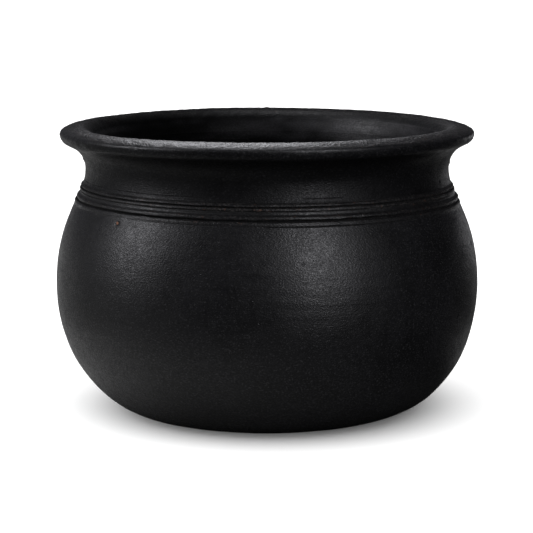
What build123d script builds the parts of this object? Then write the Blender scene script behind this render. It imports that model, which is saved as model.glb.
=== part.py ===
from build123d import *
import os
from math import cos, radians, sin

# A hand-built black clay cooking pot, in millimetres. +Z is up, and the origin is the
# centre of the flat face that the pot rests on.
#
# The potter presses a pad of clay flat, winds one thick coil after another on top of it
# and draws each one up into a course of wall, then adds the collar of the neck and the
# rolled coil of the lip. Each of those lumps of clay is one solid of revolution here.
# Where one is pressed onto the next, the two meet along a cone-shaped lap: the upper
# piece's edge runs down inside the lower piece's.
#
# Headings are the directions in which the section runs: 0 points straight out from the
# pot's axis, 90 straight up and 180 straight in towards the axis.

BASE_RADIUS = 69.0  # of the flat resting face
WALL = 7.0  # thickness of the floor and of the belly

# The outside, from the edge of the resting face to the crest of the lip, as arcs that run
# smoothly into one another: name, radius and the heading at the arc's far end.
BELLY_ARCS = [
    ("heel", 41.0, 48),
    ("lower_belly", 75.0, 74),
    ("belly", 107.0, 98),
    ("upper_belly", 95.0, 110),
    ("shoulder", 140.0, 118),
]
NECK_ARCS = [
    ("neck", 29.0, 90),
    ("flare", 15.0, 26),
    ("lip_under", 50.0, 30),
    ("lip_edge", 5.0, 90),
    ("lip_tip", 2.4, 150),
    ("lip_top", 18.0, 180),
]

# Inside, the belly keeps the wall's thickness. The neck is a little thicker than that,
# and the lip opens like a funnel.
INSIDE_NECK_ARCS = [
    ("neck", 42.0, 90),
    ("funnel", 41.0, 68),
]

# The joints between pieces of clay, from the bottom up: the arc of the outside that the
# joint comes out on, and how far along that arc it is.
JOINTS = [
    ("heel", 0.45),
    ("lower_belly", 0.30),
    ("belly", 0.20),
    ("belly", 0.95),
    ("shoulder", 0.80),
    ("flare", 0.62),
]
PIECES = [
    "base_pad",
    "lower_wall_course",
    "middle_wall_course",
    "upper_wall_course",
    "shoulder_course",
    "neck_collar",
    "rim_coil",
]
LAP_LEAN = 40.0  # degrees that a lap leans from square across the wall
LAP_INWARD = 20.0  # how far a lap's line runs in from the outside, well past the wall
LAP_OUTWARD = 8.0  # and how far it runs out, past the swell of the wall

# The lines turned into the damp clay round the shoulder: the arc that the line is on, how
# far along it, and the line's width and depth. The lowest one hides the collar's joint.
TURNED_LINES = [
    ("shoulder", 0.80, 1.8, 0.8),
    ("neck", 0.06, 0.8, 0.3),
    ("neck", 0.22, 1.4, 0.6),
]


def direction(heading):
    """The unit vector that a heading points along."""
    return Vector(cos(radians(heading)), sin(radians(heading)))


def arc_run(start, heading, arcs):
    """Arcs that follow one another smoothly from start, as a name: edge dictionary."""
    run = {}
    for name, radius, end_heading in arcs:
        arc = JernArc(start, direction(heading), radius, end_heading - heading)
        run[name] = arc
        start = arc @ 1
        heading = end_heading
    return run


def outside():
    """The outer line of the section, from the resting face's edge to the lip's crest."""
    return arc_run((BASE_RADIUS, 0), 0, BELLY_ARCS + NECK_ARCS)


def inside():
    """The inner line of the section, from the floor's edge to the top of the funnel."""
    belly = [(name, radius - WALL, end) for name, radius, end in BELLY_ARCS]
    return arc_run((BASE_RADIUS, WALL), 0, belly + [
        ("inside_" + name, radius, end) for name, radius, end in INSIDE_NECK_ARCS
    ])


def section(outer, inner):
    """Half the pot's section as one face, right of the axis."""
    outer_edges = list(outer.values())
    inner_edges = list(inner.values())
    crest = outer_edges[-1] @ 1
    funnel_top = inner_edges[-1] @ 1
    rolled_edge = Spline(
        funnel_top,
        crest,
        tangents=[inner_edges[-1] % 1, direction(0)],
    )
    underside = Line((0, 0), (BASE_RADIUS, 0))
    axis = Line((0, WALL), (0, 0))
    floor = Line((0, WALL), (BASE_RADIUS, WALL))
    return make_face([underside, *outer_edges, rolled_edge, *inner_edges, floor, axis])


def turned_line(outer, place):
    """The round-bottomed section of one turned line, as a disc to cut away."""
    arc, share, width, depth = place
    radius = (width**2 / 4 + depth**2) / (2 * depth)
    tangent = outer[arc] % share
    outward = Vector(tangent.Y, -tangent.X)
    centre = (outer[arc] @ share) + outward * (radius - depth)
    return Pos(centre) * Circle(radius)


def below(outer, joint):
    """Everything under one joint: the region below its lap, out to the axis and beyond."""
    arc, share = joint
    tangent = outer[arc] % share
    lean = Vector(tangent.Y, -tangent.X).rotate(Axis.Z, LAP_LEAN)
    mouth = outer[arc] @ share
    inner_end = mouth - lean * LAP_INWARD
    outer_end = mouth + lean * LAP_OUTWARD
    far = 2 * BASE_RADIUS
    corners = [
        inner_end,
        outer_end,
        (far, outer_end.Y),
        (far, -WALL),
        (0, -WALL),
        (0, inner_end.Y),
    ]
    return make_face(Polyline(*corners, close=True))


def pieces():
    """Each piece's half section, from the bottom up, as (name, face) pairs."""
    outer = outside()
    clay = section(outer, inside())
    for place in TURNED_LINES:
        clay -= turned_line(outer, place)
    for name, joint in zip(PIECES, JOINTS):
        under = below(outer, joint)
        yield name, clay & under
        clay -= under
    yield PIECES[-1], clay


os.makedirs("parts", exist_ok=True)
for name, half in pieces():
    export_step(revolve(Plane.XZ * half, Axis.Z), f"parts/{name}.step")
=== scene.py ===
import functools
import itertools
import math
import bpy
import numpy as np
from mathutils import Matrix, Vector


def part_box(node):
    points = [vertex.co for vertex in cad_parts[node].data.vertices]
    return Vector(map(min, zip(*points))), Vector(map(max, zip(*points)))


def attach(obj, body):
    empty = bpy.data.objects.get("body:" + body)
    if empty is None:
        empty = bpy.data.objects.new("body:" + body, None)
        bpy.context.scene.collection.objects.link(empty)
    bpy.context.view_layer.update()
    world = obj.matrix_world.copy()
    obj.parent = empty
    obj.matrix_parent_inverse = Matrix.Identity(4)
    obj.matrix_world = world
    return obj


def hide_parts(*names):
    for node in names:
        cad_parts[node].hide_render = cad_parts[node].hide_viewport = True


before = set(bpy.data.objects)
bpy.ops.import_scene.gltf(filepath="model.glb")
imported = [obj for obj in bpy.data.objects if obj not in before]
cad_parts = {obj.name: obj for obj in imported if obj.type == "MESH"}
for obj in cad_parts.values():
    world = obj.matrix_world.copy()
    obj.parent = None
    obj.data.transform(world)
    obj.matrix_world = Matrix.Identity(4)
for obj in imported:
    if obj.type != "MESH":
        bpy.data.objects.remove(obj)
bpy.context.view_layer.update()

# A coil-built pot of smoke-blackened clay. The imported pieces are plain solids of
# revolution. Here each one is remade over the same section with what hands, a wet rag and
# a pointed stick leave on it: turned lines with their burrs, waves in the lip, finger
# marks inside, chips and grit.
#
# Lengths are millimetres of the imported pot, whose widest course sets the scale. A heading
# is the way the section runs: 0 points straight out from the pot's axis, 90 straight up
# and 180 straight in. An azimuth is an angle round the pot from its front, which faces -Y,
# and it grows towards +X.

BELLY_WIDTH = 239.94
WIDEST_LOW, WIDEST_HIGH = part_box("upper_wall_course")
MM = (WIDEST_HIGH.x - WIDEST_LOW.x) / BELLY_WIDTH

# ---- the pot's section

BASE_RADIUS = 69.0
WALL = 7.0
BELLY_ARCS = [
    ("heel", 41.0, 48),
    ("lower_belly", 75.0, 74),
    ("belly", 107.0, 98),
    ("upper_belly", 95.0, 110),
    ("shoulder", 140.0, 118),
]
NECK_ARCS = [
    ("neck", 29.0, 90),
    ("flare", 15.0, 26),
    ("lip_under", 50.0, 30),
    ("lip_edge", 5.0, 90),
    ("lip_tip", 2.4, 150),
    ("lip_top", 18.0, 180),
]
INSIDE_NECK_ARCS = [
    ("inside_neck", 42.0, 90),
    ("funnel", 41.0, 68),
]
JOINTS = [
    ("heel", 0.45),
    ("lower_belly", 0.30),
    ("belly", 0.20),
    ("belly", 0.95),
    ("shoulder", 0.80),
    ("flare", 0.62),
]
PIECES = [
    "base_pad",
    "lower_wall_course",
    "middle_wall_course",
    "upper_wall_course",
    "shoulder_course",
    "neck_collar",
    "rim_coil",
]
LAP_LEAN = 40.0


class Run:
    """Arcs laid smoothly end to end, looked up by the length along them."""

    def __init__(self, start, heading, arcs):
        self.arcs = []
        self.length = 0.0
        r, z = start
        for name, radius, end in arcs:
            first, last = math.radians(heading), math.radians(end)
            turn = math.copysign(1, last - first)
            length = radius * abs(last - first)
            self.arcs.append((name, self.length, length, r, z, radius * turn, first))
            r += radius * turn * (math.sin(last) - math.sin(first))
            z += radius * turn * (math.cos(first) - math.cos(last))
            self.length += length
            heading = end
        self.end = (r, z)
        self.heading = math.radians(heading)

    def place(self, name, share):
        """The length along the run of a point that lies share of the way along one arc."""
        return next(a[1] + share * a[2] for a in self.arcs if a[0] == name)

    def at(self, lengths):
        """Radius, height and heading at each length."""
        lengths = np.asarray(lengths, float)
        starts = np.array([a[1] for a in self.arcs])
        index = np.clip(np.searchsorted(starts, lengths, side="right") - 1, 0, None)
        start, r, z, radius, first = (
            np.array([a[k] for a in self.arcs])[index] for k in (1, 3, 4, 5, 6)
        )
        heading = first + (lengths - start) / radius
        return (
            r + radius * (np.sin(heading) - np.sin(first)),
            z + radius * (np.cos(first) - np.cos(heading)),
            heading,
        )


outside = Run((BASE_RADIUS, 0), 0, BELLY_ARCS + NECK_ARCS)
inside = Run(
    (BASE_RADIUS, WALL),
    0,
    [(name, radius - WALL, end) for name, radius, end in BELLY_ARCS] + INSIDE_NECK_ARCS,
)


# ---- rows round the pot

# The pot's whole skin is one sheet of rows, each of them round the pot: out across the
# underside, up the outside, over the lip, down the inside and in across the floor.
UNDERSIDE, OUTSIDE, LIP, INSIDE, FLOOR = range(5)

SEGMENTS = 720  # points in a full row
LAP_ROWS = 4
WALL_SPACING = 0.95  # from one row to the next
LINE_SPACING = 0.16  # across a turned line, as far out as LINE_REACH
LINE_REACH = 1.3
BAND_SPACING = 0.45  # between the lines, as far out as BAND_REACH
BAND_REACH = 3.0
LIP_SPACING = 0.5
INSIDE_SPACING = 1.1
DISC_SPACING = 1.5
LIP_ROWS = 10
LIP_ROUNDNESS = 0.36  # length of the rolled edge's handles, as a share of its chord
SPACING_SAMPLES = 2000  # points along a run at which the spacing of rows is looked up
LAP_SAMPLES = 20000  # points along the inside at which a lap's way out is looked for

# Lines turned into the damp clay: the arc that each is on, how far along it, its half
# width and depth, how far it drops from the left to the right, how broken it is, and the
# azimuth where it is clearest.
TURNED_LINES = [
    ("shoulder", 0.63, 0.26, 0.34, 0.9, 0.97, 18),
    ("shoulder", 0.79, 0.45, 1.20, 1.1, 0.0, 0),
    ("neck", 0.07, 0.24, 0.36, 0.9, 0.4, -20),
    ("neck", 0.22, 0.36, 1.00, 0.7, 0.0, 0),
    ("neck", 0.39, 0.24, 0.30, 0.5, 0.6, -30),
    ("neck", 0.55, 0.24, 0.14, 0.5, 0.7, -35),
]

# Low swellings that the lines squeeze up between them: arc, share, half width, height and
# drop as above.
BANDS = [
    ("shoulder", 0.71, 1.2, 0.45, 1.0),
    ("shoulder", 0.88, 1.1, 0.75, 1.0),
    ("neck", 0.14, 1.3, 0.80, 0.8),
    ("neck", 0.30, 1.2, 0.75, 0.6),
]


def spaced(first, last, spacing):
    """Lengths from first to last, both of them included, about spacing(length) apart."""
    fine = np.linspace(first, last, SPACING_SAMPLES)
    steps = np.cumsum(1 / spacing(fine)) * (fine[1] - fine[0])
    count = max(1, math.ceil(steps[-1] - steps[0]))
    return np.interp(np.linspace(steps[0], steps[-1], count + 1), steps, fine)


def outside_spacing(lengths):
    lines = np.array([outside.place(line[0], line[1]) for line in TURNED_LINES])
    nearest = np.abs(lengths[:, None] - lines).min(axis=1)
    spacing = np.where(nearest < BAND_REACH, BAND_SPACING, WALL_SPACING)
    spacing = np.where(nearest < LINE_REACH, LINE_SPACING, spacing)
    return np.where(lengths > outside.place("lip_under", 0), LIP_SPACING, spacing)


def inside_spacing(lengths):
    near_lip = lengths > inside.place("funnel", 0.8)
    return np.where(near_lip, LIP_SPACING, INSIDE_SPACING)


def disc_spacing(lengths):
    return np.full_like(lengths, DISC_SPACING)


def joined(stops, spacing):
    """Row lengths through every stop, with a row exactly on each."""
    runs = [spaced(a, b, spacing)[:-1] for a, b in zip(stops, stops[1:])]
    return np.concatenate([*runs, [stops[-1]]])


def lap_foot(outer_length):
    """How far along the inside a lap comes out that starts this far along the outside."""
    r, z, heading = outside.at(outer_length)
    lean = heading - math.pi / 2 + math.radians(LAP_LEAN)
    lengths = np.linspace(0, inside.length, LAP_SAMPLES)
    inner_r, inner_z, _ = inside.at(lengths)
    aside = (inner_r - r) * np.sin(lean) - (inner_z - z) * np.cos(lean)
    crossings = np.flatnonzero(np.diff(np.sign(aside)))
    away = np.hypot(inner_r - r, inner_z - z)[crossings]
    return lengths[crossings[np.argmin(away)]]


def rolled_edge(shares):
    """Radius, height and heading from the lip's crest over into the funnel."""
    crest = np.array(outside.end)
    funnel = np.array(inside.end)
    handle = LIP_ROUNDNESS * np.hypot(*(funnel - crest))
    start = np.array([math.cos(outside.heading), math.sin(outside.heading)]) * handle
    end = np.array([math.cos(inside.heading), math.sin(inside.heading)]) * handle
    corners = np.array([crest, crest + start, funnel + end, funnel])
    t = shares[:, None]
    weights = np.hstack([(1 - t) ** 3, 3 * t * (1 - t) ** 2, 3 * t**2 * (1 - t), t**3])
    slopes = np.hstack([(1 - t) ** 2, 2 * t * (1 - t), t**2])
    r, z = (weights @ corners).T
    along_r, along_z = (slopes @ np.diff(corners, axis=0)).T
    return r, z, np.arctan2(along_z, along_r) % (2 * math.pi)


def ring_step(radii):
    """Every how many segments a row of this radius has a point: fewer near the middle."""
    full_above = 45.0
    coarsest = 16
    halvings = np.ceil(np.log2(full_above / np.maximum(radii, 0.01))).clip(0)
    return np.where(radii > 0, np.minimum(2**halvings, coarsest), SEGMENTS).astype(int)


outer_joints = [outside.place(*joint) for joint in JOINTS]
inner_joints = [lap_foot(length) for length in outer_joints]

disc_rows = spaced(0, BASE_RADIUS, disc_spacing)[:-1]
outside_rows = joined([0, *outer_joints, outside.length], outside_spacing)
lip_rows = np.arange(1, LIP_ROWS) / LIP_ROWS
inside_rows = joined([0, *inner_joints, inside.length], inside_spacing)[::-1]
inner_r, inner_z, inner_heading = inside.at(inside_rows)
flat = np.zeros_like(disc_rows)
blocks = [
    (UNDERSIDE, disc_rows, disc_rows, flat, flat),
    (OUTSIDE, outside_rows, *outside.at(outside_rows)),
    (LIP, lip_rows, *rolled_edge(lip_rows)),
    (INSIDE, inside_rows, inner_r, inner_z, inner_heading + math.pi),
    (FLOOR, disc_rows[::-1], disc_rows[::-1], flat + WALL, flat + math.pi),
]
row_surface = np.concatenate([np.full(len(block[1]), block[0]) for block in blocks])
row_length, row_r, row_z, row_heading = (
    np.concatenate([block[k] for block in blocks]) for k in (1, 2, 3, 4)
)
row_step = ring_step(row_r)
row_travel = np.concatenate([[0], np.cumsum(np.hypot(np.diff(row_r), np.diff(row_z)))])
azimuth = np.arange(SEGMENTS) / SEGMENTS * 2 * math.pi

# Keeps marks on the two discs from fanning out from the middle.
FROM_MIDDLE = np.minimum(row_r / BASE_RADIUS, 1)


def row_at(surface, length):
    """The number of the row at a length along one surface."""
    return int(np.argmin(np.where(row_surface == surface, np.abs(row_length - length), np.inf)))


# ---- what hands leave on it

NOISE_SIZE = 32
NOISE_TABLE = np.random.default_rng(41).uniform(-1, 1, (NOISE_SIZE,) * 3)
LAYER_SHIFT = 7.31  # from one layer of noise to the next, so that no two look alike

# Noise that is added up: each layer's height, the width round the pot and the height along
# it of its lumps, and its number.
HAND_MARKS = [(0.16, 52, 24, 1), (0.07, 19, 9, 2), (0.03, 7, 4, 3)]
TURNING_MARKS = [(0.035, 190, 2.6, 4), (0.03, 60, 1.5, 5)]
HOLLOWED_FOOT = [(0.12, 14, 11, 8), (0.07, 4, 2.2, 9)]
RUB_PATCHES = [(0.45, 11, 3, 10), (0.25, 3, 1.5, 11)]
LIP_GRAIN = [(0.12, 4.2, 1.9, 13), (0.08, 2.2, 1.2, 14)]
ASH_PATCHES = [(0.9, 24, 9, 15), (0.5, 9, 4, 16)]

# The same for what only changes round the pot along a turned line. The last number is
# added to the line's own, for the layer.
LINE_WANDER = [(0.14, 46, 0.0), (0.08, 8, 0.4)]
LINE_WIDENING = [(0.30, 6, 0.2)]
LINE_PRESSURE = [(0.28, 38, 0.7), (0.15, 5, 0.9)]

FINGER_PITCH = 7.5  # from one finger ridge inside to the next
FINGER_HEIGHT = 0.20
FOOT_EDGE = 9.0  # how far in the underside's hollow takes to reach its depth
FOOT_HOLLOW = 0.10  # that depth, in the middle of its unevenness
BURR_PLACE = 1.75  # where a burr stands beside its line, in half widths of the line
BURR_WIDTH = 0.70
BURR_ABOVE, BURR_BELOW = 0.20, 0.08  # heights, as shares of the line's depth
FULL_CREASE = 0.5  # depth from which a line's soot and painted shade are as dark as they get

OUT_OF_ROUND = 0.35  # the pot's largest departure from round
LIP_WAVE = 0.6  # rise and fall of the lip's crest
LIP_OVAL, LIP_OVAL_TURN = 0.6, 0.1  # the part of it that goes twice round, from 0.1 radians
LIP_UNEVEN = [(0.2, 40, 12)]  # and the rest
LIP_WAVE_START = 132.0  # height from which the lip's wave grows
LIP_DIP = 1.15  # how far the front of the lip sags
LIP_DIP_TURN = 14.0  # degrees to the left of the front where it sags most
SCRAPED_ROUND = 0.8  # clay scraped off the heel, all the way round
SCRAPED_LEFT = 1.1  # and off the low wall, on the left
SCRAPED_TURN = -85.0  # azimuth where that is deepest
TOP = outside.end[1]

# Single marks: surface, arc, share of the arc, azimuth, radius and height. Pits are
# below the surface and lumps of grit stand above it.
CHIP = (OUTSIDE, "shoulder", 0.49, -45.5, 1.1, -0.60)
RUST = (OUTSIDE, "shoulder", 0.505, -45.7)  # the red earth that shows in the chip
MARKS = [
    CHIP,
    (OUTSIDE, "upper_belly", 0.65, 8.9, 0.9, -0.25),
    (OUTSIDE, "upper_belly", 0.53, 76.4, 1.2, -0.45),
    (OUTSIDE, "flare", 0.18, 83.0, 1.4, 0.45),
    (OUTSIDE, "flare", 0.30, -84.0, 1.6, 0.35),
    (OUTSIDE, "lip_top", 0.50, 180.0, 1.5, 0.60),
    (OUTSIDE, "lip_edge", 0.60, -118.0, 2.2, -0.40),
    (OUTSIDE, "lip_under", 0.50, 131.0, 1.7, -0.35),
    (OUTSIDE, "heel", 0.10, 38.0, 1.8, -0.45),
    (OUTSIDE, "heel", 0.05, -152.0, 2.4, -0.50),
]
SCATTERED_PITS = 70
SCATTERED_GRIT = 50

# How matte the skin is: 0 on the belly, more where it is duller, and less than 0 where it
# is more polished than the belly. Between these points along the outside it changes evenly.
# Where it is matte, its colour also gets painted shade.
MATTE_STOPS = {
    ("shoulder", 0.55): 0.0,
    ("neck", 0.10): 0.10,
    ("flare", 0.90): 0.16,
    ("lip_edge", 0.50): 0.02,
}
MATTE_LIP = -0.20  # handling has polished the lip's crest more than the belly
MATTE_ROLL = 0.10  # but not the edge where it rolls in
MATTE_INSIDE = 0.10
ASH_AND_LIGHT_EVEN = 0.45  # how much ash and painted light cover where the patches are neither thick nor thin
PAINTED_LIGHT_TURN = 160  # azimuth where painted light makes it thickest, the side that the light falls on


def noise(x, y, z):
    """Smooth noise between -1 and 1, with lumps one unit across."""
    cells = [np.floor(a).astype(int) for a in (x, y, z)]
    parts = [a - cell for a, cell in zip((x, y, z), cells)]
    eased = [part * part * (3 - 2 * part) for part in parts]
    total = 0
    for corner in itertools.product((0, 1), repeat=3):
        weights = [ease if up else 1 - ease for ease, up in zip(eased, corner)]
        index = tuple((cell + up) % NOISE_SIZE for cell, up in zip(cells, corner))
        total = total + weights[0] * weights[1] * weights[2] * NOISE_TABLE[index]
    return total


def skin_noise(width, height, layer, travel=None):
    """Noise over the skin with lumps this wide round the pot and this high along it."""
    turns = BELLY_WIDTH / 2 / width
    if travel is None:
        travel = row_travel
        turns = turns * FROM_MIDDLE[:, None]
    shift = layer * LAYER_SHIFT
    x = turns * np.cos(azimuth)[None, :] + shift
    y = turns * np.sin(azimuth)[None, :] - shift
    return noise(*np.broadcast_arrays(x, y, travel[:, None] / height + shift))


def round_noise(width, layer):
    """Noise that only changes round the pot."""
    return skin_noise(width, 1, layer, travel=np.zeros(1))[0]


def skin_layers(layers, level=0.0):
    """Layers of noise over the skin, added to a level."""
    return sum((size * skin_noise(*lumps) for size, *lumps in layers), level)


def round_layers(layers, number=0, level=0.0):
    """Layers of noise that only changes round the pot, added to a level."""
    noises = (size * round_noise(width, number + layer) for size, width, layer in layers)
    return sum(noises, level)


def smooth(low, high, values):
    """0 below low and 1 above high, with an eased climb between them."""
    t = np.clip((values - low) / (high - low), 0, 1)
    return t * t * (3 - 2 * t)


def on_surface(*surfaces):
    return np.isin(row_surface, surfaces)[:, None]


def turned_line(number, arc, share, half_width, depth, drop, broken, clearest):
    """One turned line's relief, how deep in it each point is, from 0 to 1, and its burrs."""
    wander = round_layers(LINE_WANDER, number)
    centre = outside.place(arc, share) - drop * np.sin(azimuth) / 2 + wander
    width = half_width * round_layers(LINE_WIDENING, number, 1)
    across = (row_length[:, None] - centre) / width
    pressed = round_layers(LINE_PRESSURE, number, 1)
    clear = 0.8 * np.cos(2 * (azimuth - math.radians(clearest)))
    whole = 1.1 * round_noise(30, number + 0.5) + clear * (broken > 0)
    kept = smooth(2 * broken - 1.6, 2 * broken - 1.2, whole)
    inside_line = np.exp(-np.abs(across) ** 2.4) * kept * on_surface(OUTSIDE)
    torn = 0.55 + 0.6 * np.abs(skin_noise(4.5, 1.3, number + 0.3))
    burr_above = BURR_ABOVE * np.exp(-(((across - BURR_PLACE) / BURR_WIDTH) ** 2)) * torn
    burr_below = BURR_BELOW * np.exp(-(((across + BURR_PLACE) / BURR_WIDTH) ** 2)) * torn
    burr = (burr_above + burr_below) * kept * on_surface(OUTSIDE)
    darkness = inside_line * min(1, depth / FULL_CREASE)
    return depth * pressed * (burr - inside_line), darkness, burr


def band(number, arc, share, half_width, rise, drop):
    """One low swelling's relief."""
    centre = outside.place(arc, share) - drop * np.sin(azimuth) / 2
    across = (row_length[:, None] - centre) / half_width
    fullness = 1 + 0.30 * round_noise(30, number + 20) + 0.25 * skin_noise(6, 2, number + 24)
    return rise * fullness * np.exp(-(across**2)) * on_surface(OUTSIDE)


def mark(surface, arc, share, at_azimuth, radius, height):
    """The rows that one pit or lump touches, and its relief on them."""
    length = (outside if surface == OUTSIDE else inside).place(arc, share)
    rows = np.flatnonzero((row_surface == surface) & (np.abs(row_length - length) < 3 * radius))
    turn = (azimuth - math.radians(at_azimuth) + math.pi) % (2 * math.pi) - math.pi
    away = np.hypot((row_length[rows] - length)[:, None], turn * row_r[rows][:, None])
    return rows, height * np.exp(-((away / radius) ** 2.6))


def scattered(count, heights, seed):
    """Small marks anywhere on the belly, neck and inside, from a fixed seed."""
    rng = np.random.default_rng(seed)
    arcs = [(OUTSIDE, arc[0]) for arc in BELLY_ARCS + NECK_ARCS[:3]]
    arcs += [(INSIDE, arc[0]) for arc in BELLY_ARCS + INSIDE_NECK_ARCS]
    for _ in range(count):
        surface, arc = arcs[rng.integers(len(arcs))]
        share, turn = rng.uniform(0, 1), rng.uniform(-180, 180)
        yield surface, arc, share, turn, rng.uniform(0.7, 1.25), rng.uniform(*heights)


def lip_grain():
    """The uneven clay of the rolled lip, which the rag smoothed less than the wall."""
    start = outside.place("lip_under", 0.4)
    at_lip = np.where(on_surface(OUTSIDE), smooth(start, start + 4, row_length[:, None]), 0)
    at_lip = np.where(on_surface(LIP), 1, at_lip)
    return at_lip * skin_layers(LIP_GRAIN)


def scraped_heel():
    """How much clay was scraped off low down, all round and deepest on the left."""
    length = row_length[:, None]
    round_heel = smooth(1, 9, length) * (1 - smooth(30, 60, length))
    low_wall = smooth(8, 30, length) * (1 - smooth(42, 85, length))
    on_left = np.clip(np.cos(azimuth - math.radians(SCRAPED_TURN)), 0, 1) ** 2
    scraped = SCRAPED_ROUND * round_heel + SCRAPED_LEFT * low_wall * on_left
    return scraped * on_surface(OUTSIDE)


def finger_ridges():
    """The ridges that fingers leave up the inside, wound round it."""
    wound = row_travel[:, None] / FINGER_PITCH + azimuth[None, :] / (2 * math.pi)
    fullness = 0.6 + 0.5 * skin_noise(60, 20, 6)
    ridges = FINGER_HEIGHT * np.cos(2 * math.pi * wound) * fullness
    return ridges * on_surface(INSIDE) * smooth(0, 30, row_z[:, None] - WALL)


def worn_foot():
    """How far the underside is hollowed inside the edge that it rests on."""
    foot = on_surface(UNDERSIDE) * smooth(0, FOOT_EDGE, BASE_RADIUS - row_r)[:, None]
    return foot * np.clip(skin_layers(HOLLOWED_FOOT, FOOT_HOLLOW), 0, None)


def relief():
    """The skin's relief in mm, and masks of its creases and of its burrs and swellings."""
    hand = skin_layers(HAND_MARKS)
    turning = skin_layers(TURNING_MARKS)
    off_foot = np.where(on_surface(OUTSIDE), smooth(0.5, 9, row_length[:, None]), 1)
    height = (hand + turning + finger_ridges()) * off_foot * ~on_surface(UNDERSIDE)
    height += lip_grain() - scraped_heel()
    crease = np.zeros_like(height)
    burrs = np.zeros_like(height)
    for number, swelling in enumerate(BANDS):
        rise = band(number, *swelling)
        height += rise
        burrs = np.maximum(burrs, rise)
    for number, line in enumerate(TURNED_LINES):
        line_height, line_crease, burr = turned_line(number, *line)
        height += line_height
        crease = np.maximum(crease, line_crease)
        burrs = np.maximum(burrs, burr)
    pits = scattered(SCATTERED_PITS, (-0.28, -0.10), 5)
    grit = scattered(SCATTERED_GRIT, (0.06, 0.18), 6)
    for place in itertools.chain(MARKS, pits, grit):
        rows, mark_height = mark(*place)
        height[rows] += mark_height
        # Pits are darkened like the lines, with soot and painted shade.
        crease[rows] = np.maximum(crease[rows], np.clip(-mark_height * 2, 0, 1))
    height -= worn_foot()
    return height, crease, burrs


def rubbed(burrs):
    """How far handling has worn each point: the lip's edge, the foot and the burrs."""
    crest = np.exp(-(((row_z - TOP) / 2.2) ** 2))[:, None] * ~on_surface(FLOOR, UNDERSIDE)
    edge = np.exp(-(((row_r - BASE_RADIUS) / 5) ** 2))[:, None] * (row_z < 2)[:, None]
    patchy = skin_layers(RUB_PATCHES, 0.55)
    return np.clip((crest + edge + burrs) * patchy, 0, 1)


def ash_and_painted_light():
    """Ash that clings in cloudy patches inside and settles in the bottom, with painted light that
    makes it paler near the mouth and towards the back, where the light falls.
    """
    patches = skin_layers(ASH_PATCHES, ASH_AND_LIGHT_EVEN)
    settled = 1 - smooth(60, 125, row_z)
    # Painted light: the mask grows near the mouth, where light reaches in, and towards the side the
    # light falls on. The bottom holds settled ash.
    lit_near_mouth_and_settled = (0.15 + 0.85 * smooth(138, 157, row_z) + 0.45 * settled)[:, None]
    toward_painted_light = 0.6 + 0.4 * np.cos(azimuth - math.radians(PAINTED_LIGHT_TURN))
    return np.clip(patches, 0, 1) * lit_near_mouth_and_settled * toward_painted_light * on_surface(INSIDE, FLOOR)


def matte():
    """How unpolished each row is: the belly shines, and the neck and the inside don't. Where they
    don't, the colour also gets painted shade.
    """
    along = [0, *(outside.place(*spot) for spot in MATTE_STOPS), outside.length]
    outer = np.interp(row_length, along, [0, *MATTE_STOPS.values(), MATTE_LIP])
    over_lip = np.interp(row_length, [0, 0.5, 1], [MATTE_LIP, MATTE_ROLL, MATTE_INSIDE])
    here = [row_surface == OUTSIDE, row_surface == LIP]
    return np.select(here, [outer, over_lip], MATTE_INSIDE)


def shaped_skin(height):
    """Every point of the skin in mm, after its relief and the pot's unevenness."""
    sway = np.cos(2 * azimuth + 0.7) + 0.5 * np.cos(3 * azimuth + 2.1)
    grown = smooth(0, 60, row_z)[:, None]
    r = row_r[:, None] + OUT_OF_ROUND * sway / 1.5 * grown
    wave = round_layers(LIP_UNEVEN, level=LIP_OVAL * np.cos(2 * azimuth - LIP_OVAL_TURN))
    lifted = smooth(LIP_WAVE_START, TOP, row_z)[:, None]
    r = r + height * np.sin(row_heading)[:, None]
    sag = LIP_DIP * smooth(0, 1, np.cos(azimuth + math.radians(LIP_DIP_TURN)))
    risen = (LIP_WAVE * wave - sag) * lifted
    z = row_z[:, None] + risen - height * np.cos(row_heading)[:, None]
    r = np.where(row_r[:, None] > 0, r, 0)
    z = np.where(row_r[:, None] > 0, z, row_z[:, None])
    return np.stack([r * np.sin(azimuth), -r * np.cos(azimuth), z], axis=2)


def unit(vectors):
    return vectors / np.maximum(np.linalg.norm(vectors, axis=-1, keepdims=True), 1e-12)


def skin_normals(points):
    """The shaped skin's outward normals, so that the joints between pieces don't show."""
    round_pot = np.roll(points, -1, axis=1) - np.roll(points, 1, axis=1)
    along = np.gradient(points, axis=0)
    normals = unit(np.cross(round_pot, along))
    normals[0], normals[-1] = (0, 0, -1), (0, 0, 1)
    return normals


# The stretches of skin that weren't burnished: from the neck above its deeper lines to the
# lip's outer edge, and from the funnel down to the middle of the floor.
NECK_START = row_at(OUTSIDE, outside.place("neck", 0.40))
LIP_EDGE_END = row_at(OUTSIDE, outside.place("lip_tip", 0.2))
FUNNEL_START = row_at(INSIDE, inside.place("funnel", 0.5))
UNBURNISHED = [
    (row_travel[NECK_START], row_travel[LIP_EDGE_END]),
    (row_travel[FUNNEL_START], row_travel[-1] + 1),
]
skin_height, skin_crease, skin_burrs = relief()
skin_rub = rubbed(skin_burrs)
skin_ash_and_light = ash_and_painted_light()
row_matte = matte()
skin_points = shaped_skin(skin_height)
skin_normal = skin_normals(skin_points)


# ---- the pieces of clay

UV_NAME = "OFBake"
UV_SECTORS = 3  # a ring is unrolled into this many strips, one above another
UV_MARGIN = 0.01
DISC_MIDDLES = (0.25, 0.75)  # the base's two discs lie side by side, this far across
DISC_SHARE = 0.56  # of the base's rows, more than either of its discs takes

MASKS = ("crease", "rub", "matte", "ash_and_light")  # one number each for every point of the skin


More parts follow.
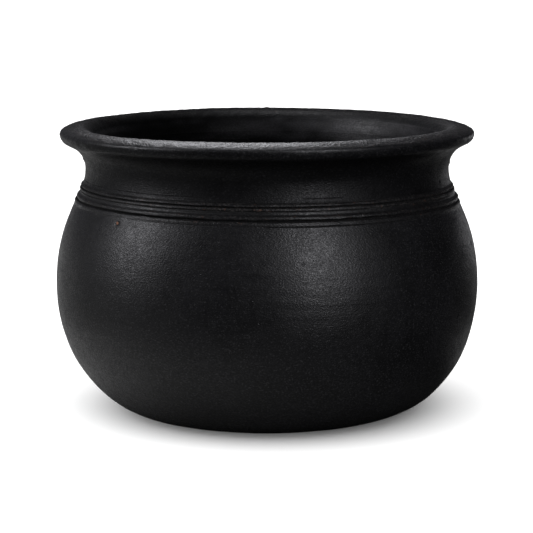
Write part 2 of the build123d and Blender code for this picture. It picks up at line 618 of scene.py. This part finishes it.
class Rings:
    """One piece's rows of points in order, and the strips of faces between them. Each row
    has its masks, with how far along the skin it lies as one more after them."""

    def __init__(self):
        self.rows = []
        self.strips = []
        self.travel = 0.0

    def add(self, points, normals, masks, is_lap):
        """A row of points, joined to the last one by a strip unless it is the first."""
        if self.rows:
            step = np.linalg.norm(points[0] - self.rows[-1][0][0])
            self.strips.append((len(self.rows) - 1, len(self.rows), self.travel, step, is_lap))
            self.travel += step
        self.rows.append((points, normals, masks))

    def close(self):
        """A last strip, of lap, back to the first row."""
        step = np.linalg.norm(self.rows[0][0][0] - self.rows[-1][0][0])
        self.strips.append((len(self.rows) - 1, 0, self.travel, step, True))
        self.travel += step

    def unburnished(self, row):
        """Whether a row lies in one of the unburnished stretches."""
        travel = self.rows[row][2][-1][0]
        return any(first <= travel < last for first, last in UNBURNISHED)

    def add_skin(self, first, last):
        """The skin's rows from first to last."""
        for row in range(first, last + 1):
            columns = slice(None, None, row_step[row])
            count = SEGMENTS // row_step[row]
            masks = np.stack([
                skin_crease[row, columns],
                skin_rub[row, columns],
                np.full(count, row_matte[row]),
                skin_ash_and_light[row, columns],
                np.full(count, row_travel[row]),
            ])
            starts_stretch = row == first
            self.add(skin_points[row, columns], skin_normal[row, columns], masks, starts_stretch)

    def add_lap(self, first, last):
        """The rows of the lap between the skin's row first and its row last."""
        start, end = skin_points[first], skin_points[last]
        for share in np.arange(1, LAP_ROWS) / LAP_ROWS:
            masks = np.zeros((len(MASKS) + 1, SEGMENTS))
            masks[-1] = row_travel[first]
            self.add(start + (end - start) * share, skin_normal[first], masks, True)


def corners_between(first_count, second_count):
    """The faces that join two rows of points, where one row may have half the points of
    the other, or a single point: arrays of each corner's row, 0 or 1, and its turn."""
    big, small = max(first_count, second_count), min(first_count, second_count)
    k = np.arange(big)
    if small == 1:
        fine, coarse = [k / big, (k + 1) / big], [(k + 0.5) / big]
        shapes = [(fine, coarse)]
    elif small == big:
        shapes = [([k / big, (k + 1) / big], [k / big, (k + 1) / big])]
    else:
        k = np.arange(small)
        even, middle, odd = k / small, (k + 0.5) / small, (k + 1) / small
        shapes = [([even, middle], [even]), ([middle, odd], [even, odd])]
    for fine, coarse in shapes:
        lower, upper = (fine, coarse) if first_count >= second_count else (coarse, fine)
        turns = np.stack([*lower, *upper[::-1]], axis=1)
        which = np.broadcast_to([0] * len(lower) + [1] * len(upper), turns.shape)
        yield which, turns


def bake_uv(turn, travel, total, closed, on_second_half):
    """Where each corner lies on the unrolled piece, or on one of a base's two discs."""
    if closed:
        first_of_face = turn.min(axis=1, keepdims=True) + 1e-6
        sector = np.floor(first_of_face * UV_SECTORS)
        u = UV_MARGIN + (1 - 2 * UV_MARGIN) * (turn * UV_SECTORS - sector)
        v = (sector + UV_MARGIN + (1 - 2 * UV_MARGIN) * travel / total) / UV_SECTORS
        return np.stack([u, v], axis=2)
    out = np.where(on_second_half, total - travel, travel)
    first_middle, second_middle = DISC_MIDDLES
    reach = (first_middle - UV_MARGIN) * out / (total * DISC_SHARE)
    angle = turn * 2 * math.pi
    middle = np.where(on_second_half, second_middle, first_middle)
    return np.stack([middle + reach * np.cos(angle), 0.5 + reach * np.sin(angle)], axis=2)


def add_object(name, data):
    """A new object in the scene."""
    made = bpy.data.objects.new(name, data)
    bpy.context.scene.collection.objects.link(made)
    return made


def piece_mesh(name, rings, closed):
    """A Blender object of the rings, with its normals, masks and bake layout."""
    counts = [len(row[0]) for row in rings.rows]
    starts = np.concatenate([[0], np.cumsum(counts)])
    points = np.concatenate([row[0] for row in rings.rows])
    normals = np.concatenate([row[1] for row in rings.rows])
    masks = np.concatenate([row[2] for row in rings.rows], axis=1)
    outward = points[:, :2] / np.maximum(np.hypot(*points[:, :2].T), 1e-9)[:, None]
    tangents = np.stack([-outward[:, 1], outward[:, 0], 0 * outward[:, 0]], axis=1)
    faces, face_uvs, face_normals, face_finish = [], [], [], []
    in_second_half = False
    for first, second, travel, step, is_lap in rings.strips:
        in_second_half = in_second_half or is_lap
        for which, turn in corners_between(counts[first], counts[second]):
            row = np.where(which == 0, first, second)
            column = np.floor(turn * np.array(counts)[row] + 1e-6).astype(int)
            vertex = starts[row] + column % np.array(counts)[row]
            faces.extend(vertex.tolist())
            plain = rings.unburnished(first) and not is_lap
            face_finish.extend([int(plain)] * len(vertex))
            at = travel + which * step
            uv = bake_uv(turn, at, rings.travel, closed, in_second_half)
            face_uvs.append(uv.reshape(-1, 2))
            corner = vertex.ravel()
            if is_lap:
                across = points[starts[second]] - points[starts[first]]
                out_part, up_part = across @ [*outward[starts[first]], 0], across[2]
                rise = np.full(len(corner), up_part)
                slope = np.column_stack([outward[corner] * out_part, rise])
                face_normals.append(unit(np.cross(tangents[corner], slope)))
            else:
                face_normals.append(normals[corner])
    mesh = bpy.data.meshes.new(name)
    mesh.from_pydata((points * MM).tolist(), [], faces)
    mesh.shade_smooth()
    mesh.polygons.foreach_set("material_index", face_finish)
    layer = mesh.uv_layers.new(name=UV_NAME)
    layer.data.foreach_set("uv", np.concatenate(face_uvs).ravel())
    mesh.normals_split_custom_set(np.concatenate(face_normals).tolist())
    for label, values in zip(MASKS, masks):
        attribute = mesh.attributes.new(label, "FLOAT", "POINT")
        attribute.data.foreach_set("value", values.astype(np.float32))
    strokes = mesh.attributes.new("strokes", "FLOAT_VECTOR", "POINT")
    from_middle = np.minimum(np.hypot(*points[:, :2].T) / BASE_RADIUS, 1)[:, None]
    wound = np.column_stack([outward * from_middle * BELLY_WIDTH / 2, masks[-1]])
    strokes.data.foreach_set("vector", wound.ravel().astype(np.float32))
    mesh.validate()
    return add_object(name, mesh)


def make_pieces():
    """Every piece of clay, from the bottom up, as a node name: object dictionary."""
    outer = [row_at(OUTSIDE, length) for length in outer_joints]
    inner = [row_at(INSIDE, length) for length in inner_joints]
    made = {}
    for number, node in enumerate(PIECES):
        rings = Rings()
        if number == 0:
            rings.add_skin(0, outer[0])
            rings.add_lap(outer[0], inner[0])
            rings.add_skin(inner[0], len(row_r) - 1)
        elif number == len(PIECES) - 1:
            rings.add_skin(outer[-1], inner[-1])
            rings.add_lap(inner[-1], outer[-1])
            rings.close()
        else:
            below, above = number - 1, number
            rings.add_skin(outer[below], outer[above])
            rings.add_lap(outer[above], inner[above])
            rings.add_skin(inner[above], inner[below])
            rings.add_lap(inner[below], outer[below])
            rings.close()
        made[node] = piece_mesh(f"{node}_clay", rings, closed=number > 0)
    return made


# ---- the black clay

# Patterns of noise in the clay: the size of its lumps in mm, its detail, its roughness and
# how it is drawn out. Strokes and scrapes lie round the pot: their first two numbers draw
# them out round it, and the third along it.
GRAIN = (0.9, 1.5, 0.65, (1.2, 1.2, 0.8))
LUMPS = (3.2, 3, 0.55)
BLOTCHES = (9, 3, 0.6)
CLOUD = (26, 4, 0.6)
FINE_STROKES = (1.0, 3, 0.6, (26, 26, 0.9))
BROAD_STROKES = (1.0, 2, 0.5, (60, 60, 3.5))
SCRAPES = (1.0, 3, 0.5, (1.3, 1.3, 14))
CREASE_SPOTS = (1.6, 3)
WORN_SPOTS = (1.2, 3)
FLECK_SPOTS = (1.7, 2)
PORES_PER_MM = 0.33
PORE_SIZES = (0.05, 0.16, 1.0, 0.0)  # from a pore's middle out, as shares of their spacing
PORES_KEPT = (0.55, 0.7)

# Its colours, and where each shows: a pattern's values between which it comes in, and how
# much of it there is at each of them, which is none and all unless it is given.
SOOT = (0.0052, 0.0052, 0.0060, 1)
PALER_SOOT, IN_CLOUDS = (0.0100, 0.0100, 0.0115, 1), (0.35, 0.65)
BETWEEN_GRAINS, IN_HOLLOWS = (0.0014, 0.0014, 0.0016, 1), (0.50, 0.33, 0.0, 0.9)
GRAIN_TOPS, ON_TOPS = (0.0470, 0.0461, 0.0481, 1), (0.52, 0.75, 0.0, 0.9)
# Matte places, the neck, under the lip and the inside, are darker: duller soot, and painted shade.
DULL_SOOT_AND_SHADE, WHERE_MATTE = (0.0010, 0.0010, 0.0011, 1), (0.0, 0.10, 0.0, 0.5)
# Ash: paler clay inside, with painted light where it is made thickest, near the mouth and towards
# the back.
ASH_AND_LIGHT, ON_GRAINS = (0.075, 0.073, 0.078, 1), (0.3, 0.7, 0.6, 1.0)
# The lines and pits are darkened: soot in them, and painted shade.
CREASE_SOOT_AND_SHADE, CREASE_SOOT_AND_SHADE_SHARE = (0.0015, 0.0014, 0.0014, 1), 0.9
CREASE_EARTH, IN_CREASE_SPOTS = (0.050, 0.026, 0.016, 1), (0.62, 0.74, 0.0, 0.45)
WORN_CLAY, IN_WORN_SPOTS = (0.100, 0.090, 0.085, 1), (0.46, 0.68, 0.0, 0.8)
FLECK_EARTH, IN_FLECK_SPOTS = (0.16, 0.075, 0.045, 1), (0.66, 0.72, 0.0, 0.9)
RED_EARTH, NEAR_RUST = (0.38, 0.19, 0.12, 1), (0.0005, 0.0010, 1.0, 0.0)  # in metres

# How rough it is, from the fine strokes, and what the other patterns add to that.
STROKE_ROUGHNESS = (0.3, 0.7, 0.37, 0.41)
LUMP_ROUGHNESS = (0.3, 0.7, -0.03, 0.03)
BLOTCH_ROUGHNESS = (0.32, 0.68, -0.03, 0.03)
GRAIN_ROUGHNESS = (0.35, 0.65, 0.10, -0.07)
MATTE_ROUGHNESS = 0.50
CREASE_ROUGHNESS = 0.55

# How high each pattern stands, in mm.
GRAIN_HEIGHT = 0.17
RUBBED_GRAIN_HEIGHT = 0.38  # more, where the clay is rubbed
LUMP_HEIGHT = 0.022
FINE_STROKE_HEIGHT = 0.05
BROAD_STROKE_HEIGHT = 0.07
SCRAPE_HEIGHT = 0.12  # where the clay is fully matte
PORE_DEPTH = 0.11

CLAY_IOR = 1.5
BURNISHED_SHINE = 0.5
UNBURNISHED_SHINE = 0.27


class Nodes:
    """Short ways to add and wire a material's nodes."""

    def __init__(self, tree):
        self.tree = tree
        tree.nodes.clear()

    def add(self, kind, settings=None, **inputs):
        node = self.tree.nodes.new(kind)
        for name, value in (settings or {}).items():
            setattr(node, name, value)
        for name, value in inputs.items():
            self.feed(node.inputs[name.replace("_", " ")], value)
        return node

    def feed(self, socket, value):
        if isinstance(value, bpy.types.NodeSocket):
            self.tree.links.new(value, socket)
        else:
            socket.default_value = value

    def math(self, operation, *values):
        node = self.add("ShaderNodeMath", {"operation": operation})
        for socket, value in zip(node.inputs, values):
            self.feed(socket, value)
        return node.outputs[0]

    def times(self, first, second):
        return self.math("MULTIPLY", first, second)

    def total(self, *values):
        return functools.reduce(lambda a, b: self.math("ADD", a, b), values)

    def blend(self, low, high, factor):
        """Two colours mixed by a factor."""
        node = self.add("ShaderNodeMix", {"data_type": "RGBA"})
        factor_socket, low_socket, high_socket = node.inputs[0], node.inputs[6], node.inputs[7]
        self.feed(factor_socket, factor)
        self.feed(low_socket, low)
        self.feed(high_socket, high)
        return node.outputs[2]

    def remap(self, value, low, high, to_low=0.0, to_high=1.0):
        """A value between low and high, moved with eased ends to another pair of limits."""
        node = self.add("ShaderNodeMapRange", {"interpolation_type": "SMOOTHSTEP"})
        for socket, number in zip(node.inputs, (value, low, high, to_low, to_high)):
            self.feed(socket, number)
        return node.outputs[0]

    def mask(self, name):
        return self.add("ShaderNodeAttribute", {"attribute_name": name}).outputs["Fac"]

    def near_way(self, way, aim, spread, amount):
        """An amount that grows as a direction comes nearer to the one aimed at."""
        node = self.add("ShaderNodeVectorMath", {"operation": "DOT_PRODUCT"}, Vector=way)
        node.inputs[1].default_value = aim
        return self.remap(node.outputs["Value"], *spread, 0.0, amount)

    def speckle(self, vector, size, detail, roughness=0.5, stretch=(1, 1, 1)):
        """Noise from 0 to 1 with lumps of this size in mm, drawn out by stretch."""
        scaled = self.add("ShaderNodeMapping", {"vector_type": "POINT"}, Vector=vector)
        scaled.inputs["Scale"].default_value = [1 / (size * s) for s in stretch]
        noise_node = self.add(
            "ShaderNodeTexNoise",
            Vector=scaled.outputs[0],
            Scale=1.0,
            Detail=detail,
            Roughness=roughness,
        )
        return noise_node.outputs["Fac"]

    def spots(self, vector, pattern, limits):
        """Where a pattern comes in, between two of its values."""
        return self.remap(self.speckle(vector, *pattern), *limits)


def surface_point(surface, arc, share, at_azimuth):
    """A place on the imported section, in metres."""
    run = outside if surface == OUTSIDE else inside
    r, z, _ = run.at(run.place(arc, share))
    turn = math.radians(at_azimuth)
    return r * math.sin(turn) * MM, -r * math.cos(turn) * MM, float(z) * MM


def clay_pores(n, spot):
    """Where the clay has a pore, from 0 to 1."""
    pores = n.add("ShaderNodeTexVoronoi", {"feature": "F1"}, Vector=spot, Scale=PORES_PER_MM)
    pore = n.remap(pores.outputs["Distance"], *PORE_SIZES)
    chosen = n.add("ShaderNodeSeparateColor", Color=pores.outputs["Color"])
    return n.times(pore, n.remap(chosen.outputs[0], *PORES_KEPT))


def rusty(n, place):
    """Where red earth shows in the chip, from 0 to 1."""
    away = n.add("ShaderNodeVectorMath", {"operation": "DISTANCE"}, Vector=place)
    away.inputs[1].default_value = surface_point(*RUST)
    return n.remap(away.outputs["Value"], *NEAR_RUST)


def clay_color(n, place, spot, grain):
    """Soot, paler on the grains' tops, with ash and painted light inside, worn places and earth that
    shows, and painted shade in the creases and where the clay is matte.
    """
    crease, rub = n.mask("crease"), n.mask("rub")
    color = SOOT
    for other, share in (
        (PALER_SOOT, n.spots(spot, CLOUD, IN_CLOUDS)),
        (BETWEEN_GRAINS, n.remap(grain, *IN_HOLLOWS)),
        (GRAIN_TOPS, n.remap(grain, *ON_TOPS)),
        (DULL_SOOT_AND_SHADE, n.remap(n.mask("matte"), *WHERE_MATTE)),
        (ASH_AND_LIGHT, n.times(n.mask("ash_and_light"), n.remap(grain, *ON_GRAINS))),
        (CREASE_SOOT_AND_SHADE, n.times(crease, CREASE_SOOT_AND_SHADE_SHARE)),
        (CREASE_EARTH, n.times(crease, n.spots(spot, CREASE_SPOTS, IN_CREASE_SPOTS))),
        (WORN_CLAY, n.times(rub, n.spots(spot, WORN_SPOTS, IN_WORN_SPOTS))),
        (FLECK_EARTH, n.times(rub, n.spots(spot, FLECK_SPOTS, IN_FLECK_SPOTS))),
        (RED_EARTH, rusty(n, place)),
    ):
        color = n.blend(color, other, share)
    return color


def clay_roughness(n, spot, grain, lumps, fine_strokes):
    """Satin where it was burnished, rougher where it is matte and in the creases."""
    return n.total(
        n.remap(fine_strokes, *STROKE_ROUGHNESS),
        n.remap(lumps, *LUMP_ROUGHNESS),
        n.spots(spot, BLOTCHES, BLOTCH_ROUGHNESS),
        n.remap(grain, *GRAIN_ROUGHNESS),
        n.times(n.mask("matte"), MATTE_ROUGHNESS),
        n.times(n.mask("crease"), CREASE_ROUGHNESS),
    )


def clay_bump(n, spot, strokes_at, grain, lumps, fine_strokes):
    """The grain, the burnishing strokes, the scrapes and the pores, as a normal."""
    grain_height = n.total(GRAIN_HEIGHT, n.times(n.mask("rub"), RUBBED_GRAIN_HEIGHT))
    scrape_height = n.times(n.mask("matte"), SCRAPE_HEIGHT)
    height = n.total(
        n.times(grain, grain_height),
        n.times(lumps, LUMP_HEIGHT),
        n.times(fine_strokes, FINE_STROKE_HEIGHT),
        n.times(n.speckle(strokes_at, *BROAD_STROKES), BROAD_STROKE_HEIGHT),
        n.times(n.speckle(strokes_at, *SCRAPES), scrape_height),
    )
    height = n.math("SUBTRACT", height, n.times(clay_pores(n, spot), PORE_DEPTH))
    return n.add("ShaderNodeBump", Height=height, Distance=MM, Strength=1.0).outputs[0]


def black_clay(name, shine):
    """Smoke-blackened clay that reflects as much as shine says."""
    material = bpy.data.materials.new(name)
    material.use_nodes = True
    n = Nodes(material.node_tree)
    place = n.add("ShaderNodeTexCoord").outputs["Object"]
    in_mm = n.add("ShaderNodeVectorMath", {"operation": "SCALE"}, Vector=place, Scale=1 / MM)
    spot = in_mm.outputs[0]
    strokes_at = n.add("ShaderNodeAttribute", {"attribute_name": "strokes"}).outputs["Vector"]
    grain = n.speckle(spot, *GRAIN)
    lumps = n.speckle(spot, *LUMPS)
    fine_strokes = n.speckle(strokes_at, *FINE_STROKES)
    shader = n.add(
        "ShaderNodeBsdfPrincipled",
        Base_Color=clay_color(n, place, spot, grain),
        Roughness=clay_roughness(n, spot, grain, lumps, fine_strokes),
        Normal=clay_bump(n, spot, strokes_at, grain, lumps, fine_strokes),
        IOR=CLAY_IOR,
        Specular_IOR_Level=shine,
    )
    n.add("ShaderNodeOutputMaterial", Surface=shader.outputs[0])
    return material


# ---- the studio

# The camera stands where it sees the pot's front, a little above the mouth.
CAMERA_AWAY = 1060.0
CAMERA_HIGH = 254.1
CAMERA_ASIDE = -0.23
CAMERA_TILT = 9.33  # degrees below level
CAMERA_LENS = 126.8
CAMERA_SENSOR = 36.0

LIGHT_TARGET = 85.0  # height that every softbox points at

# Soft lights: name, azimuth, elevation, distance, width, height and power.
SOFTBOXES = [
    ("left_softbox", -78, 28, 1100, 260, 700, 3.7),
    ("right_softbox", 29, 24.5, 1300, 270, 1100, 6.2),
    ("back_softbox", -172, 42, 1200, 460, 620, 3.6),
    ("right_back_softbox", 146, 0, 1200, 300, 160, 0.10),
    ("top_softbox", -120, 82, 1300, 700, 700, 3.0),
]

# Cards that only shade, which nothing sees: a round one keeps the right light out of the
# pot's mouth, and a bent one behind the pot keeps the back light off the far rim.
MOUTH_CARD_RADIUS = 96.0
MOUTH_CARD_HIGH = 172.0
BACK_CARD_RADIUS = 136.0
BACK_CARD_FOOT = 152.0
BACK_CARD_TOP = 257.0
BACK_CARD_HALF = 88  # degrees that it reaches to each side of the back
CARD_SIDES = 48
SOFTBOX_COLOR = (0.955, 0.955, 1.0)

# A wide overhead glow that lights the floor alone, from the left, and that the pot shades.
GLOW_ANGLE = 130.0  # how much of the sky it covers, in degrees
GLOW_STRENGTH = 6.2
GLOW_LEAN = 12.0  # degrees from overhead, towards the left
GLOW_FORWARD = 20.0  # degrees from overhead, towards the camera
SHADOW_LIFT = 0.07  # how light the floor stays in the darkest shadow

# What the pot mirrors: dim all round, bright behind it and paler on the left. Spreads are
# cosines of the angles from each of those directions, where it starts and where it's full.
DIM = 0.008
BEHIND_WAY = (-0.10, 0.99, 0)
BEHIND = 0.13  # along the floor
BEHIND_HIGH = 0.045  # and above it
BEHIND_SPREAD = (0.40, 0.98)
LEFT_WAY = (-0.94, 0.34, 0)
LEFT = 0.06
LEFT_SPREAD = (0.10, 0.90)

# In the pot's reflections the floor's colour has painted light and shade: paler on the pot's left
# and behind it, darker on its right and front, and darkest, with a painted contact shadow, where
# the two touch. Distances are metres from the pot's axis.
FLOOR_SHARE = 1.4  # how much of the surroundings' brightness the floor has far away
FLOOR_PAINTED_LIGHT_LEFT = 0.20  # and how pale its painted light makes it near the pot, on the left
FLOOR_ACROSS = (0.16, -0.14)  # from where to where, along X
FLOOR_PAINTED_LIGHT_BACK = 0.24  # and behind
FLOOR_DEEP = (-0.02, 0.11)  # from where to where, along Y
NEAR = (0.30, 0.14)  # from where these two count to where they count in full
PAINTED_CONTACT_SHADOW = (0.06, 0.13)  # from where the painted contact shadow is darkest to where it ends

FLOOR_HALF = 20.0  # metres from the floor's middle to its sides
FLOOR_COLOR = (0.9, 0.9, 0.9, 1)
WHITE = (1, 1, 1, 1)
MIRRORED_COLOR = (0.92, 0.92, 1, 1)
FAR_CLIP = 100  # metres from the camera


def mixed_by_camera(n, seen, unseen):
    """One shader where the camera looks, and another in what the pot reflects."""
    rays = n.add("ShaderNodeLightPath")
    mixed = n.add("ShaderNodeMixShader")
    for socket, value in zip(mixed.inputs, (rays.outputs["Is Camera Ray"], unseen, seen)):
        n.feed(socket, value)
    return mixed.outputs[0]


def surroundings(n, way, behind_level):
    """How bright the room looks in the pot's reflections, by direction."""
    behind = n.near_way(way, BEHIND_WAY, BEHIND_SPREAD, behind_level)
    left = n.near_way(way, LEFT_WAY, LEFT_SPREAD, LEFT)
    return n.math("ADD", DIM, n.math("ADD", behind, left))


def pale_floor():
    """A seamless pale floor that burns out to white except in the pot's shadow."""
    material = bpy.data.materials.new("pale_floor")
    material.use_nodes = True
    n = Nodes(material.node_tree)
    diffuse = n.add("ShaderNodeBsdfDiffuse", Color=FLOOR_COLOR)
    lift = n.add("ShaderNodeEmission", Color=WHITE, Strength=SHADOW_LIFT)
    pale = n.add("ShaderNodeAddShader")
    n.feed(pale.inputs[0], diffuse.outputs[0])
    n.feed(pale.inputs[1], lift.outputs[0])
    place = n.add("ShaderNodeTexCoord").outputs["Object"]
    away = n.add("ShaderNodeVectorMath", {"operation": "LENGTH"}, Vector=place)
    clear = n.remap(away.outputs["Value"], *PAINTED_CONTACT_SHADOW)
    near = n.remap(away.outputs["Value"], *NEAR)
    axes = n.add("ShaderNodeSeparateXYZ", Vector=place)
    left = n.remap(axes.outputs["X"], *FLOOR_ACROSS, 0.0, FLOOR_PAINTED_LIGHT_LEFT)
    back = n.remap(axes.outputs["Y"], *FLOOR_DEEP, 0.0, FLOOR_PAINTED_LIGHT_BACK)
    way = n.add("ShaderNodeVectorMath", {"operation": "NORMALIZE"}, Vector=place)
    around = n.times(surroundings(n, way.outputs[0], BEHIND), FLOOR_SHARE)
    around = n.math("ADD", around, n.times(near, n.math("MAXIMUM", left, back)))
    # The floor's colour in reflections: painted light on the left and behind, and a painted contact
    # shadow near the pot.
    mirrored = n.times(around, clear)
    dull = n.add("ShaderNodeBsdfDiffuse", Color=mirrored)
    both = mixed_by_camera(n, pale.outputs[0], dull.outputs[0])
    n.add("ShaderNodeOutputMaterial", Surface=both)
    return material


def make_floor():
    """The floor that the pot stands on."""
    half = FLOOR_HALF
    corners = [(-half, -half, 0), (half, -half, 0), (half, half, 0), (-half, half, 0)]
    mesh = bpy.data.meshes.new("floor")
    mesh.from_pydata(corners, [], [(0, 1, 2, 3)])
    mesh.materials.append(pale_floor())
    floor = add_object("floor", mesh)
    return floor


def make_world():
    """White to the camera, and in the pot's reflections dim but for behind it and left."""
    world = bpy.data.worlds.new("studio")
    world.use_nodes = True
    n = Nodes(world.node_tree)
    white = n.add("ShaderNodeBackground", Color=WHITE, Strength=1.0)
    way = n.add("ShaderNodeTexCoord").outputs["Generated"]
    around = surroundings(n, way, BEHIND_HIGH)
    mirrored = n.add("ShaderNodeBackground", Color=MIRRORED_COLOR, Strength=around)
    n.add("ShaderNodeOutputWorld", Surface=mixed_by_camera(n, white.outputs[0], mirrored.outputs[0]))
    bpy.context.scene.world = world


def toward(azimuth_degrees, elevation, distance):
    """A point this far from the softboxes' target, in metres."""
    turn, rise = math.radians(azimuth_degrees), math.radians(elevation)
    level = distance * math.cos(rise)
    return (
        level * math.sin(turn) * MM,
        -level * math.cos(turn) * MM,
        (LIGHT_TARGET + distance * math.sin(rise)) * MM,
    )


def collection(name, objects):
    """A group of objects, for a light that only they receive or only they shade."""
    group = bpy.data.collections.new(name)
    for item in objects:
        group.objects.link(item)
    return group


def make_glow(floor, pot):
    """The wide overhead light on the floor, which only the pot shades."""
    light = bpy.data.lights.new("glow", "SUN")
    light.angle = math.radians(GLOW_ANGLE)
    light.energy = GLOW_STRENGTH
    glow = add_object("glow", light)
    glow.rotation_euler = (math.radians(GLOW_FORWARD), math.radians(-GLOW_LEAN), 0)
    glow.light_linking.receiver_collection = collection("lit_floor", [floor])
    glow.light_linking.blocker_collection = pot


def make_card(name, corners, faces):
    """An unseen card, which shades only the lights that list it as a blocker."""
    mesh = bpy.data.meshes.new(name)
    mesh.from_pydata([[value * MM for value in corner] for corner in corners], [], faces)
    card = add_object(name, mesh)
    for rays in ("camera", "diffuse", "glossy", "transmission"):
        setattr(card, f"visible_{rays}", False)
    return card


def mouth_card():
    """A round card over the pot's mouth."""
    turns = np.arange(CARD_SIDES) / CARD_SIDES * 2 * math.pi
    r = MOUTH_CARD_RADIUS
    corners = [(r * math.cos(t), r * math.sin(t), MOUTH_CARD_HIGH) for t in turns]
    return make_card("mouth_card", corners, [range(CARD_SIDES)])


def back_card():
    """A bent card that stands behind the pot, higher than its rim."""
    half = math.radians(BACK_CARD_HALF)
    r = BACK_CARD_RADIUS
    corners = [
        (r * math.sin(t), r * math.cos(t), z)
        for t in np.linspace(-half, half, CARD_SIDES + 1)
        for z in (BACK_CARD_FOOT, BACK_CARD_TOP)
    ]
    faces = [(k, k + 2, k + 3, k + 1) for k in range(0, 2 * CARD_SIDES, 2)]
    return make_card("back_card", corners, faces)


def make_softbox(pot, shading, name, azimuth_degrees, elevation, distance, width, height, power):
    """A soft light that only the pot receives, shaded only by what is in shading."""
    light = bpy.data.lights.new(name, "AREA")
    light.shape = "RECTANGLE"
    light.size = width * MM
    light.size_y = height * MM
    light.energy = power
    light.color = SOFTBOX_COLOR
    softbox = add_object(name, light)
    softbox.location = toward(azimuth_degrees, elevation, distance)
    softbox.rotation_euler = (math.radians(90 - elevation), 0, math.radians(azimuth_degrees))
    softbox.visible_camera = False
    softbox.light_linking.receiver_collection = pot
    softbox.light_linking.blocker_collection = shading


def make_camera():
    """The photograph's view."""
    data = bpy.data.cameras.new("camera")
    data.lens = CAMERA_LENS
    data.sensor_width = CAMERA_SENSOR
    data.clip_end = FAR_CLIP
    camera = add_object("camera", data)
    camera.location = (CAMERA_ASIDE * MM, -CAMERA_AWAY * MM, CAMERA_HIGH * MM)
    camera.rotation_euler = (math.radians(90 - CAMERA_TILT), 0, 0)
    bpy.context.scene.camera = camera


burnished = black_clay("burnished_black_clay", BURNISHED_SHINE)
unburnished = black_clay("unburnished_black_clay", UNBURNISHED_SHINE)
pieces = make_pieces()
for node, piece in pieces.items():
    piece.data.materials.append(burnished)
    piece.data.materials.append(unburnished)
    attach(piece, "root")
    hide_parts(node)

pot = collection("pot", pieces.values())
shades = {
    "right_softbox": collection("right_shades", [*pieces.values(), mouth_card()]),
    "back_softbox": collection("back_shades", [*pieces.values(), back_card()]),
}
make_glow(make_floor(), pot)
make_world()
for softbox_values in SOFTBOXES:
    make_softbox(pot, shades.get(softbox_values[0], pot), *softbox_values)
make_camera()
bpy.context.scene.view_settings.view_transform = "Standard"
